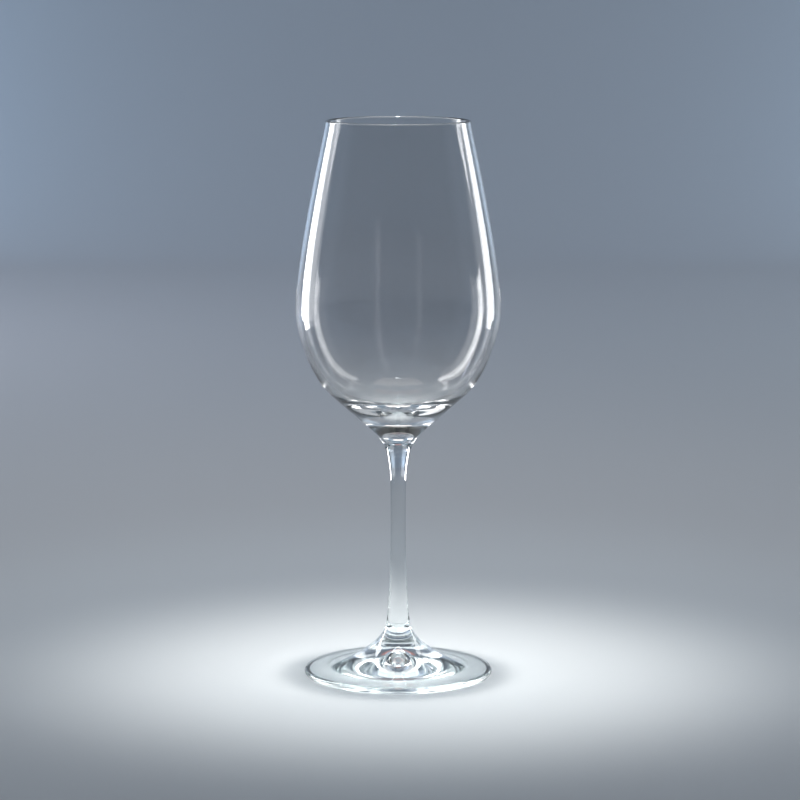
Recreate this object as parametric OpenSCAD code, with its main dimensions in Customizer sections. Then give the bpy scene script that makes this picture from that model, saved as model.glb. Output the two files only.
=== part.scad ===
// A stemmed wine glass of clear glass, standing on its foot.
// Three gathers of glass are welded hot, end to end on one axis: the foot, the stem and the bowl.
// Millimetres, +Z up, origin at the centre of the foot on the surface that it stands on.
// Each piece is turned from an outline of [radius, height] points, listed from the outside in.

/* [Heights] */
// Height of the foot, from the table to the weld under the stem
foot_h = 20; // [16:0.5:24]
// Length of the stem, from weld to weld
stem_h = 80; // [64:1:100]
// Height of the bowl, from the weld on top of the stem to the rim
bowl_h = 130; // [108:1:156]

/* [Bowl] */
// Outside width of the bowl at its widest
belly_d = 84.4; // [70:0.1:101.5]
// Outside width of the bowl at the rim
rim_d = 59.2; // [49:0.1:71.5]
// Height of the widest place above the weld
belly_rise = 52; // [44:0.5:62]
// Thickness of the wall at the rim
rim_wall = 1.5; // [1.2:0.05:1.8]
// Thickness of the wall at the belly and below it
belly_wall = 2.7; // [2.2:0.05:3.3]
// Solid glass between the weld and the bottom of the inside
base_t = 11.5; // [9.5:0.5:14]
// Width of the flat middle of the bowl's inside
floor_d = 14; // [11:0.5:17]
// Width of the weld between the bowl and the stem
bowl_weld_d = 16; // [13:0.1:19.2]
// Lean of the wall at the rim, in degrees from upright
rim_lean = 6; // [3:0.5:9]
// Slope of the straight underside above the weld, in degrees from upright
under_slope = 48.5; // [40:0.5:56]
// Width of the bowl where the straight underside ends
shoulder_d = 55.6; // [46:0.2:66.8]

/* [Stem] */
// Width of the stem at its thinnest
stem_d = 6.2; // [5:0.1:7.4]
// Height of the thinnest place above the foot's weld
waist_rise = 54; // [45:1:62]
// Width of the weld between the stem and the foot
foot_weld_d = 10.4; // [8.6:0.1:12.5]

/* [Foot] */
// Width of the foot
foot_d = 78; // [65:0.5:93]
// Thickness of the foot's rounded edge
foot_edge_t = 2.6; // [2:0.1:3.2]
// Width of the cone that carries the stem, halfway down its slope
cone_d = 34; // [29:0.5:40]
// Height of the cone there, above the table
cone_rise = 8.1; // [7:0.1:9.6]
// Slope of the cone there, in degrees down from level
cone_slope = 32; // [28:0.5:36]
// Width over which the cone has eased into the plate around it
plate_d = 58; // [50:0.5:66]
// Slope of the plate, in degrees down from level
plate_slope = 3; // [1:0.5:6]
// Height of the hollow under the middle of the foot
hollow_h = 7.5; // [6:0.1:9]
// Width of the hollow's rounded top
hollow_top_d = 10; // [8:0.5:12]
// Width of the flat ring that the foot rests on
rest_ring_w = 1; // [0.8:0.05:1.2]

/* [Hidden] */
$fn = 180;
steps = 20;

foot_weld_z = foot_h;
bowl_weld_z = foot_weld_z + stem_h;
rim_z = bowl_weld_z + bowl_h;

belly_r = belly_d / 2;
belly_z = bowl_weld_z + belly_rise;
wall_h = rim_z - belly_z;
rim_r = rim_d / 2;
floor_z = bowl_weld_z + base_t;
bowl_weld_r = bowl_weld_d / 2;
shoulder_r = shoulder_d / 2;
shoulder_z = bowl_weld_z + (shoulder_r - bowl_weld_r) / tan(under_slope);

waist_r = stem_d / 2;
waist_z = foot_weld_z + waist_rise;
foot_weld_r = foot_weld_d / 2;

edge_r = foot_edge_t / 2;
edge_centre_r = foot_d / 2 - edge_r;
rest_ring_r = edge_centre_r - rest_ring_w;
cone_r = cone_d / 2;
plate_r = plate_d / 2;

// Points along a smooth curve that leaves a towards b and arrives at d from c, without its last point
function curve(a, b, c, d) = [
    for (i = [0 : steps - 1])
        let (t = i / steps, u = 1 - t)
            u * u * u * a + 3 * u * u * t * b + 3 * u * t * t * c + t * t * t * d
];

// Points along an arc of radius r about centre, from one angle to another
function arc(centre, r, from, to) = [
    for (i = [0 : steps]) centre + r * [cos(from + (to - from) * i / steps), sin(from + (to - from) * i / steps)]
];

// A step of the given length along a direction, in degrees up from level, outwards
function along(length, angle) = length * [cos(angle), sin(angle)];

// From the rim down to the belly, set in from the outside by one distance at the rim and one at the belly
function upper_wall(rim_inset, belly_inset) =
    let (rim = [rim_r - rim_inset, rim_z - rim_wall / 2], belly = [belly_r - belly_inset, belly_z])
        curve(rim, rim - along(0.04 * wall_h, 90 + rim_lean), belly + [0, 0.3 * wall_h], belly);

// Blown bowl with a rounded rim, a wall that thickens downwards and a solid base
module bowl() {
    belly = [belly_r, belly_z];
    shoulder = [shoulder_r, shoulder_z];
    bottom = [0, floor_z];
    drop = belly_z - shoulder_z;
    outer_slope = along(0.38 * drop, 90 - under_slope);
    inner_belly = [belly_r - belly_wall, belly_z];
    heel = shoulder + along(belly_wall, 180 - under_slope);
    inner_drop = belly_z - heel.y;
    lower_wall = curve(belly, belly - [0, 0.16 * drop], shoulder + outer_slope, shoulder);
    inner_side = curve(inner_belly, inner_belly - [0, 0.2 * inner_drop], heel + outer_slope, heel);
    inner_bottom = curve(heel, heel - along(0.3 * shoulder_r, 90 - under_slope), [floor_d / 2, floor_z], bottom);
    inner_wall = concat(upper_wall(rim_wall, belly_wall), inner_side, inner_bottom);
    rim = arc([rim_r - rim_wall / 2, rim_z - rim_wall / 2], rim_wall / 2, 180, 0);
    color("lightsteelblue")
        rotate_extrude()
            polygon(concat(
                rim,
                [for (i = [1 : steps - 1]) upper_wall(0, 0)[i]],
                lower_wall,
                [shoulder, [bowl_weld_r, bowl_weld_z], [0, bowl_weld_z], bottom],
                [for (i = [len(inner_wall) - 1 : -1 : 1]) inner_wall[i]]
            ));
}

// Drawn stem, flared at both ends to the width of its welds
module stem() {
    top = [bowl_weld_r, bowl_weld_z];
    waist = [waist_r, waist_z];
    bottom = [foot_weld_r, foot_weld_z];
    flare = curve(top, top - [0.5, 2.3], [waist_r, bowl_weld_z - 2.6], waist);
    taper = curve(waist, waist - [0, 10], bottom + [-2.4, 12.6], bottom);
    color("lightsteelblue")
        rotate_extrude()
            polygon(concat(flare, taper, [bottom, [0, foot_weld_z], [0, bowl_weld_z]]));
}

// Spun foot: a neck, a cone, a plate with a round edge, and a hollow underneath
module foot() {
    neck = [foot_weld_r, foot_weld_z];
    cone = [cone_r, cone_rise];
    edge = arc([edge_centre_r, edge_r], edge_r, 90 - plate_slope, -90);
    plate = [plate_r, edge[0].y + (edge[0].x - plate_r) * tan(plate_slope)];
    width = plate_r - cone_r;
    color("lightsteelblue")
        rotate_extrude()
            polygon(concat(
                curve(neck, neck + [1.4, -4.2], cone - along(0.47 * cone_r, -cone_slope), cone),
                curve(cone, cone + along(0.46 * width, -cone_slope), plate - along(0.17 * width, -plate_slope), plate),
                [plate],
                edge,
                curve([rest_ring_r, 0], [0.4 * rest_ring_r, 0.3], [hollow_top_d / 2, hollow_h], [0, hollow_h]),
                [[0, hollow_h], [0, foot_weld_z]]
            ));
}

bowl();
stem();
foot();
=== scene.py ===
"""A clear wine glass on a pale studio sweep, in a soft pool of light."""

import math

import bpy
import numpy as np
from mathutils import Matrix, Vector


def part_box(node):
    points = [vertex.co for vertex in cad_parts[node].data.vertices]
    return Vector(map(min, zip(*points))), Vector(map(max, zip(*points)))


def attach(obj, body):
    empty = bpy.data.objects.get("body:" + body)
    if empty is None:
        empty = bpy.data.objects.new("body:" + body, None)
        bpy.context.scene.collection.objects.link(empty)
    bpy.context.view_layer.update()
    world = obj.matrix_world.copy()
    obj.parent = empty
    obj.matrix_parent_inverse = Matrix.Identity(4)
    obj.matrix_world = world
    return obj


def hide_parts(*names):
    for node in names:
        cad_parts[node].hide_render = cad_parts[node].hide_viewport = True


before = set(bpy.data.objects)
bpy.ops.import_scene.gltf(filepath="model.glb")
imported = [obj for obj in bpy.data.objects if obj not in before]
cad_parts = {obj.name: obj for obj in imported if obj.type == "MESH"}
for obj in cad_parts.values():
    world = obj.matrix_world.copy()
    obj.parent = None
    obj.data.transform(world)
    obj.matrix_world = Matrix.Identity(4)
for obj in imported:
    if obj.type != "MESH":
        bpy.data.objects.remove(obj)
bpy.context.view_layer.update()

MM = 0.001

# ---------------------------------------------------------------- sizes

# The outlines' own numbers, in millimetres and degrees, as the CAD model has them
RIM_WALL = 1.5
BELLY_WALL = 2.7
BASE = 11.5
RIM_LEAN = 6.0
UNDER_SLOPE = 48.5
SHOULDER_R = 27.8
FLAT = 7.0
WAIST_R = 3.1
WAIST_RISE = 54.0
EDGE_R = 1.3
CONE = (17.0, 8.1)
CONE_SLOPE = 32.0
PLATE_R = 29.0
PLATE_SLOPE = 3.0
KICK = 7.5
KICK_R = 5.0
REST_RING = 1.0


def rings(node):
    """Radius and height of every point of a CAD node, in millimetres."""
    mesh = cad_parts[node].data
    flat = np.empty(len(mesh.vertices) * 3)
    mesh.vertices.foreach_get("co", flat)
    x, y, z = flat.reshape(-1, 3).T / MM
    return np.hypot(x, y), z


def radius_at(node, height):
    """The widest radius of a CAD node at a height."""
    r, z = rings(node)
    return float(r[np.abs(z - height) < 0.1].max())


def widest(node):
    """Radius and height of a CAD node's widest ring."""
    r, z = rings(node)
    return float(r.max()), float(z[np.argmax(r)])


RIM_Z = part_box("bowl")[1].z / MM
BOWL_WELD_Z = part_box("stem")[1].z / MM
FOOT_WELD_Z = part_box("stem")[0].z / MM
BOWL_WELD_R = radius_at("stem", BOWL_WELD_Z)
FOOT_WELD_R = radius_at("stem", FOOT_WELD_Z)
BELLY_R, BELLY_Z = widest("bowl")
RIM_R = radius_at("bowl", RIM_Z - RIM_WALL / 2)
FOOT_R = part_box("foot")[1].x / MM

# ---------------------------------------------------------------- outlines

GLASS, WELD = 0, 1


def curve(a, b, c, d, points=64):
    """A cubic from a to d that leaves towards b and arrives from c:
    a(1-t)^3 + 3b t(1-t)^2 + 3c t^2(1-t) + d t^3."""
    t = np.linspace(0, 1, points)[:, None]
    a, b, c, d = (np.array(p, float) for p in (a, b, c, d))
    return a * (1 - t) ** 3 + 3 * b * t * (1 - t) ** 2 + 3 * c * t**2 * (1 - t) + d * t**3


def arc(centre, radius, start, end, points=25):
    """Centre plus radius (cos a, sin a), with a from start to end in degrees."""
    angle = np.radians(np.linspace(start, end, points))
    return np.array(centre) + radius * np.stack([np.cos(angle), np.sin(angle)], 1)


def straight(a, b, points=12):
    """Evenly spaced points a(1-t) + bt."""
    t = np.linspace(0, 1, points)[:, None]
    return np.array(a, float) * (1 - t) + np.array(b, float) * t


def along(length, degrees):
    """A step of a length in a direction, in degrees up from outwards."""
    return length * np.array([math.cos(math.radians(degrees)), math.sin(math.radians(degrees))])


def joined(*stretches):
    """Stretches of outline end to end, without the point that each shares with the one before."""
    return np.concatenate([stretches[0]] + [stretch[1:] for stretch in stretches[1:]])


def turned(name, stretches, materials, around=256):
    """A closed solid turned about Z. Its outline runs from the axis, under the piece, out and up, and
    back to the axis, and point j of ring i is (r_i cos a_j, r_i sin a_j, z_i). Each stretch of the
    outline is (material slot, points), and the ring where the slot changes is a sharp corner."""
    outline = joined(*[points for _, points in stretches]) * MM
    slot = np.repeat([s for s, _ in stretches], [len(points) - 1 for _, points in stretches])
    ring_r, ring_z = outline[1:-1].T
    count = len(ring_r)
    angle = np.linspace(0, 2 * math.pi, around, endpoint=False)
    x = ring_r[:, None] * np.cos(angle)
    y = ring_r[:, None] * np.sin(angle)
    z = np.broadcast_to(ring_z[:, None], x.shape)
    poles = [[0, 0, outline[0, 1]], [0, 0, outline[-1, 1]]]
    points = np.concatenate([np.stack([x, y, z], 2).reshape(-1, 3), poles])
    j = np.arange(around)
    k = np.roll(j, -1)
    row = (np.arange(count - 1) * around)[:, None]
    bands = np.stack([row + j, row + k, row + around + k, row + around + j], 2).reshape(-1, 4)
    under = np.stack([np.full(around, count * around), k, j], 1)
    last = (count - 1) * around
    over = np.stack([np.full(around, count * around + 1), last + j, last + k], 1)
    mesh = bpy.data.meshes.new(name)
    mesh.from_pydata(points.tolist(), [], bands.tolist() + under.tolist() + over.tolist())
    for material in materials:
        mesh.materials.append(material)
    order = np.concatenate([slot[1:-1], slot[[0, -1]]])
    mesh.polygons.foreach_set("material_index", np.repeat(order, around))
    mesh.polygons.foreach_set("use_smooth", np.ones(len(mesh.polygons), bool))
    ends = np.empty(len(mesh.edges) * 2, int)
    mesh.edges.foreach_get("vertices", ends)
    ring = ends.reshape(-1, 2) // around
    corner = np.nonzero(np.diff(slot))[0]
    mesh.edges.foreach_set("use_edge_sharp", (ring[:, 0] == ring[:, 1]) & np.isin(ring[:, 0], corner))
    mesh.update()
    piece = bpy.data.objects.new(name, mesh)
    bpy.context.collection.objects.link(piece)
    return piece


# Each cubic's two handles are in millimetres, or a share of the stretch's own rise or width, so that
# the stretches run into each other without a corner
bowl_weld = np.array([BOWL_WELD_R, BOWL_WELD_Z])
foot_weld = np.array([FOOT_WELD_R, FOOT_WELD_Z])


def wall_above(belly_inset, rim_inset):
    """The wall from the belly up to the rim, set in from the outside by a distance at each: one cubic
    that rises upright from the belly and arrives at the rim's lean."""
    rise = RIM_Z - BELLY_Z
    belly = np.array([BELLY_R - belly_inset, BELLY_Z])
    rim = np.array([RIM_R - rim_inset, RIM_Z - RIM_WALL / 2])
    return curve(belly, belly + [0, 0.3 * rise], rim - along(0.04 * rise, 90 + RIM_LEAN), rim, 72)


def bowl_outline():
    """A flat weld, a straight underside, the round wall up to the rim, and the inside back down."""
    belly = np.array([BELLY_R, BELLY_Z])
    under = math.radians(UNDER_SLOPE)
    shoulder = np.array([SHOULDER_R, BOWL_WELD_Z + (SHOULDER_R - BOWL_WELD_R) / math.tan(under)])
    drop = BELLY_Z - shoulder[1]
    outer_slope = along(0.38 * drop, 90 - UNDER_SLOPE)
    wall_below = curve(shoulder, shoulder + outer_slope, belly - [0, 0.16 * drop], belly)
    floor = np.array([0, BOWL_WELD_Z + BASE])
    inner_belly = belly - [BELLY_WALL, 0]
    heel = shoulder + along(BELLY_WALL, 180 - UNDER_SLOPE)
    inner_drop = BELLY_Z - heel[1]
    side = curve(inner_belly, inner_belly - [0, 0.2 * inner_drop], heel + outer_slope, heel)
    heel_slope = along(0.3 * SHOULDER_R, 90 - UNDER_SLOPE)
    bottom = curve(heel, heel - heel_slope, floor + [FLAT, 0], floor)
    inside = joined(side, bottom)
    lip = arc([RIM_R - RIM_WALL / 2, RIM_Z - RIM_WALL / 2], RIM_WALL / 2, 0, 180)
    upper = [wall_above(0, 0), lip, wall_above(BELLY_WALL, RIM_WALL)[::-1], inside]
    return [
        (WELD, straight([0, BOWL_WELD_Z], bowl_weld)),
        (GLASS, joined(straight(bowl_weld, shoulder), wall_below, *upper)),
    ]


def stem_outline():
    """A weld at each end, and a rod between them that thins to a waist and flares under the bowl."""
    waist = np.array([WAIST_R, FOOT_WELD_Z + WAIST_RISE])
    taper = curve(foot_weld, foot_weld + [-2.4, 12.6], waist - [0, 10], waist)
    flare = curve(waist, [WAIST_R, BOWL_WELD_Z - 2.6], bowl_weld - [0.5, 2.3], bowl_weld, 96)
    return [
        (WELD, straight([0, FOOT_WELD_Z], foot_weld)),
        (GLASS, joined(taper, flare)),
        (WELD, straight(bowl_weld, [0, BOWL_WELD_Z])),
    ]


def foot_outline():
    """A bell-shaped hollow, the ring that the foot rests on, a round edge, the plate, the cone and
    the neck."""
    edge_at = FOOT_R - EDGE_R
    rest = edge_at - REST_RING
    hollow = curve([0, KICK], [KICK_R, KICK], [0.4 * rest, 0.3], [rest, 0], 96)
    edge = arc([edge_at, EDGE_R], EDGE_R, -90, 90 - PLATE_SLOPE)
    edge_r, edge_z = edge[-1]
    plate = np.array([PLATE_R, edge_z + (edge_r - PLATE_R) * math.tan(math.radians(PLATE_SLOPE))])
    cone = np.array(CONE)
    width = PLATE_R - cone[0]
    plate_ease = along(0.17 * width, -PLATE_SLOPE)
    cone_ease = along(0.46 * width, -CONE_SLOPE)
    easing = curve(plate, plate - plate_ease, cone + cone_ease, cone)
    neck = curve(cone, cone - along(0.47 * cone[0], -CONE_SLOPE), foot_weld + [1.4, -4.2], foot_weld)
    ring = straight([rest, 0], [edge_at, 0])
    return [
        (GLASS, joined(hollow, ring, edge, straight(edge[-1], plate), easing, neck)),
        (WELD, straight(foot_weld, [0, FOOT_WELD_Z])),
    ]


# ---------------------------------------------------------------- materials


def linear(hex_colour):
    """An sRGB hex colour as linear red, green, blue and alpha."""
    parts = [int(hex_colour[i : i + 2], 16) / 255 for i in (1, 3, 5)]
    return [p / 12.92 if p <= 0.04045 else ((p + 0.055) / 1.055) ** 2.4 for p in parts] + [1]


def add(tree, kind, links=(), **settings):
    """Adds a node, sets its properties or inputs by name, and links (socket, input name) pairs."""
    node = tree.nodes.new(kind)
    for name, value in settings.items():
        if hasattr(node, name):
            setattr(node, name, value)
        else:
            node.inputs[name.replace("_", " ")].default_value = value
    for source, target in links:
        tree.links.new(source, node.inputs[target])
    return node


def empty_material(name):
    """A material without nodes, and its tree."""
    material = bpy.data.materials.new(name)
    material.use_nodes = True
    material.node_tree.nodes.clear()
    return material, material.node_tree


def soda_lime(name, ripple_mm, ripple_depth_mm, tint):
    """Clear soda-lime glass, IOR 1.52, with the faint ripple that its making leaves. Its thickness
    tints it very slightly. A lamp's light goes straight through it to the floor, a little dimmed."""
    material, tree = empty_material(name)
    place = add(tree, "ShaderNodeTexCoord").outputs["Object"]
    ripple = add(tree, "ShaderNodeTexNoise", [(place, "Vector")], Scale=1 / (ripple_mm * MM), Detail=1.0)
    depth = ripple_depth_mm * MM
    bump = add(tree, "ShaderNodeBump", [(ripple.outputs[0], "Height")], Strength=1.0, Distance=depth)
    glass = add(tree, "ShaderNodeBsdfGlass", [(bump.outputs[0], "Normal")], Roughness=0.0, IOR=1.52)
    glass.inputs["Color"].default_value = linear(tint)
    lit = add(tree, "ShaderNodeBsdfTransparent")
    lit.inputs["Color"].default_value = linear("#d1d3d4")
    ray = add(tree, "ShaderNodeLightPath")
    links = [(ray.outputs["Is Shadow Ray"], 0), (glass.outputs[0], 1), (lit.outputs[0], 2)]
    mix = add(tree, "ShaderNodeMixShader", links)
    add(tree, "ShaderNodeOutputMaterial", [(mix.outputs[0], "Surface")])
    return material


def fused():
    """A hot weld: the two faces of glass have run together, so nothing shows between them."""
    material, tree = empty_material("fused_weld")
    clear = add(tree, "ShaderNodeBsdfTransparent")
    add(tree, "ShaderNodeOutputMaterial", [(clear.outputs[0], "Surface")])
    return material


# Blown against a mould: long, faint waves in the wall bend the edges of the reflections a little
blown_glass = soda_lime("blown_glass", 18, 0.004, "#f8f8f8")
# Drawn out of a hot gob: the surface is nearly perfect, and shows as one clean gleam
drawn_glass = soda_lime("drawn_glass", 12, 0.004, "#fbfcfc")
# Pressed and spun flat: a little more ripple, which breaks up the rings seen through the foot
spun_glass = soda_lime("spun_glass", 14, 0.006, "#fdfefe")
weld = fused()

# ---------------------------------------------------------------- pieces

for name, outline, material in (
    ("bowl", bowl_outline(), blown_glass),
    ("stem", stem_outline(), drawn_glass),
    ("foot", foot_outline(), spun_glass),
):
    piece = turned(name + "_clear", outline, [material, weld])
    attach(piece, "root")
    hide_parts(name)

# ---------------------------------------------------------------- studio

HEIGHT = RIM_Z * MM


def sweep_surface(radius=2.4, bend=0.7, top=2.6, around=96):
    """A round floor that bends up into a wall: rings of radius r_i at height z_i, with r and z along
    the floor, round a quarter circle of the bend's radius, and up to the top."""
    angle = np.radians(np.linspace(-90, 0, 24))[1:]
    flat = np.linspace(0, radius - bend, 40)[1:]
    level = np.zeros(len(flat))
    r = np.concatenate([flat, radius - bend + bend * np.cos(angle), [radius]])[:, None]
    z = np.concatenate([level, bend + bend * np.sin(angle), [top]])[:, None]
    turn = np.linspace(0, 2 * math.pi, around, endpoint=False)
    ring = np.stack([r * np.cos(turn), r * np.sin(turn), z + 0 * turn], 2).reshape(-1, 3)
    j = np.arange(around)
    k = np.roll(j, -1)
    row = (np.arange(len(r) - 1) * around)[:, None]
    bands = np.stack([row + j, row + around + j, row + around + k, row + k], 2).reshape(-1, 4)
    middle = np.stack([np.full(around, len(ring)), j, k], 1)
    mesh = bpy.data.meshes.new("studio_sweep")
    mesh.from_pydata(ring.tolist() + [[0, 0, 0]], [], bands.tolist() + middle.tolist())
    mesh.polygons.foreach_set("use_smooth", np.ones(len(mesh.polygons), bool))
    sweep = bpy.data.objects.new("studio_sweep", mesh)
    bpy.context.collection.objects.link(sweep)
    return sweep


def sweep_paper_painted_shade():
    """Matt seamless paper, pale under and behind the glass, with painted shade that makes its colour
    darker towards the front.
    """
    material, tree = empty_material("sweep_paper_painted_shade")
    place = add(tree, "ShaderNodeTexCoord").outputs["Object"]
    depth = add(tree, "ShaderNodeSeparateXYZ", [(place, "Vector")]).outputs["Y"]
    # Painted shade: the paper's colour fades from its pale tone at the glass to dark towards the front
    painted_shade_ramp = {"From_Min": -0.9, "From_Max": 0.0, "To_Min": 0.06, "To_Max": 0.75}
    tone_and_painted_shade = add(tree, "ShaderNodeMapRange", [(depth, "Value")], interpolation_type="SMOOTHSTEP", **painted_shade_ramp)
    matt = add(tree, "ShaderNodeBsdfDiffuse", [(tone_and_painted_shade.outputs[0], "Color")])
    add(tree, "ShaderNodeOutputMaterial", [(matt.outputs[0], "Surface")])
    return material


SOFTBOX_DISTANCE = 0.65
SOFTBOX_FOOT = 0.02
SOFTBOX_TOP = 0.9
WASH_POWER = 5
SPOT_HEIGHT = 1.4
SPOT_RADIUS = 0.058
SPOT_POWER = 38


def lamp(name, kind, place, target, power, colour, **settings):
    """A lamp at a place, pointed at a target, that isn't seen itself by the camera."""
    light = bpy.data.lights.new(name, kind)
    light.energy = power
    light.color = colour
    for setting, value in settings.items():
        setattr(light, setting, value)
    holder = bpy.data.objects.new(name, light)
    holder.location = place
    holder.rotation_euler = (Vector(target) - Vector(place)).to_track_quat("-Z", "Y").to_euler()
    holder.visible_camera = False
    bpy.context.collection.objects.link(holder)
    return holder


def panel(name, place, target, width, height, power, colour):
    """A flat, even rectangle of light."""
    size = {"shape": "RECTANGLE", "size": width, "size_y": height}
    return lamp(name, "AREA", place, target, power, colour, **size)


def wash(name, place, target, side, colour):
    """A square panel that washes part of the sweep with light."""
    return panel(name, place, target, side, side, WASH_POWER, colour)


def softbox(name, azimuths, brightness):
    """A tall panel beside the glass, between two azimuths from the camera's side, which shows in the
    glass and doesn't light the sweep. Its power is brightness times pi times its area."""
    turn = math.radians(sum(azimuths) / 2)
    width = 2 * SOFTBOX_DISTANCE * math.tan(math.radians(abs(azimuths[1] - azimuths[0]) / 2))
    height = SOFTBOX_TOP - SOFTBOX_FOOT
    middle = (SOFTBOX_FOOT + SOFTBOX_TOP) / 2
    place = (SOFTBOX_DISTANCE * math.sin(turn), -SOFTBOX_DISTANCE * math.cos(turn), middle)
    power = brightness * math.pi * width * height
    box = panel(name, place, (0, 0, middle), width, height, power, (1, 1, 1))
    box.visible_diffuse = False


def spot(name, x, y, reach, colour):
    """A lamp overhead whose round pool of light fades out at its reach."""
    cone = 2 * math.atan(reach / SPOT_HEIGHT)
    aim = {"spot_size": cone, "spot_blend": 1.0, "shadow_soft_size": SPOT_RADIUS}
    lamp(name, "SPOT", (x, y, SPOT_HEIGHT), (x, y, 0), SPOT_POWER, colour, **aim)


sweep = sweep_surface()
sweep.data.materials.append(sweep_paper_painted_shade())

world = bpy.data.worlds.new("room")
bpy.context.scene.world = world
world.use_nodes = True
room_light = (0.258, 0.355, 0.462, 1)
world.node_tree.nodes["Background"].inputs[0].default_value = room_light

# Two bright strips stand behind the glass at its sides, with a dim one on each side of them
softbox("left_softbox", (-134, -122), 10)
softbox("left_edge", (-122, -107), 1.7)
softbox("right_softbox", (120, 133), 5)
softbox("right_edge", (104, 120), 0.5)
softbox("left_glow", (-166, -146), 0.2)
softbox("right_glow", (146, 166), 0.2)
# Washes on the paper, then the round pool and its halo
wash("overhead", (0, 0.22, 0.8), (0, 0.22, 0), 0.4, (0.2571, 0.2308, 0.2053))
wash("left_near", (-0.75, 1.0, 0.5), (-0.75, 1.0, 0), 0.3, (0.2129, 0.2257, 0.2686))
wash("right_near", (0.75, 1.0, 0.5), (0.75, 1.0, 0), 0.3, (0.0636, 0.0737, 0.08))
wash("left_far", (-0.8, 1.7, 0.35), (-0.8, 2.4, 0.15), 0.3, (0.1065, 0.1698, 0.2543))
wash("right_far", (0.8, 1.7, 0.35), (0.8, 2.4, 0.15), 0.3, (0.0937, 0.1357, 0.1891))
wash("left_middle", (-0.75, 1.5, 0.5), (-0.75, 1.5, 0), 0.5, (0.045, 0.05, 0.062))
wash("right_middle", (0.75, 1.5, 0.5), (0.75, 1.5, 0), 0.5, (0.045, 0.05, 0.058))
wash("back_wash", (0, 1.5, 1.5), (0, 1.5, 0), 0.6, (0.0937, 0.02, 0.0))
spot("pool_lamp", 0.006, 0.0, 0.171, (1.5783, 1.6268, 1.6053))
spot("halo_lamp", 0.0, 0.1, 0.3, (0.1155, 0.1491, 0.1716))

# ---------------------------------------------------------------- camera

LENS_MM = 138.1
TILT_DOWN = 8.527

scene = bpy.context.scene
camera = bpy.data.cameras.new("camera")
camera.lens = LENS_MM
camera.clip_start = 0.01
viewpoint = bpy.data.objects.new("camera", camera)
viewpoint.location = (0.0033 * HEIGHT, -5.436 * HEIGHT, 1.315 * HEIGHT)
viewpoint.rotation_euler = (math.radians(90 - TILT_DOWN), 0, 0)
bpy.context.collection.objects.link(viewpoint)
scene.camera = viewpoint
scene.view_settings.view_transform = "Standard"
# Light crosses up to eight faces of glass on its way to the eye, and turns inside the solid parts
for limit in ("max_bounces", "glossy_bounces", "transmission_bounces", "transparent_max_bounces"):
    setattr(scene.cycles, limit, 24)
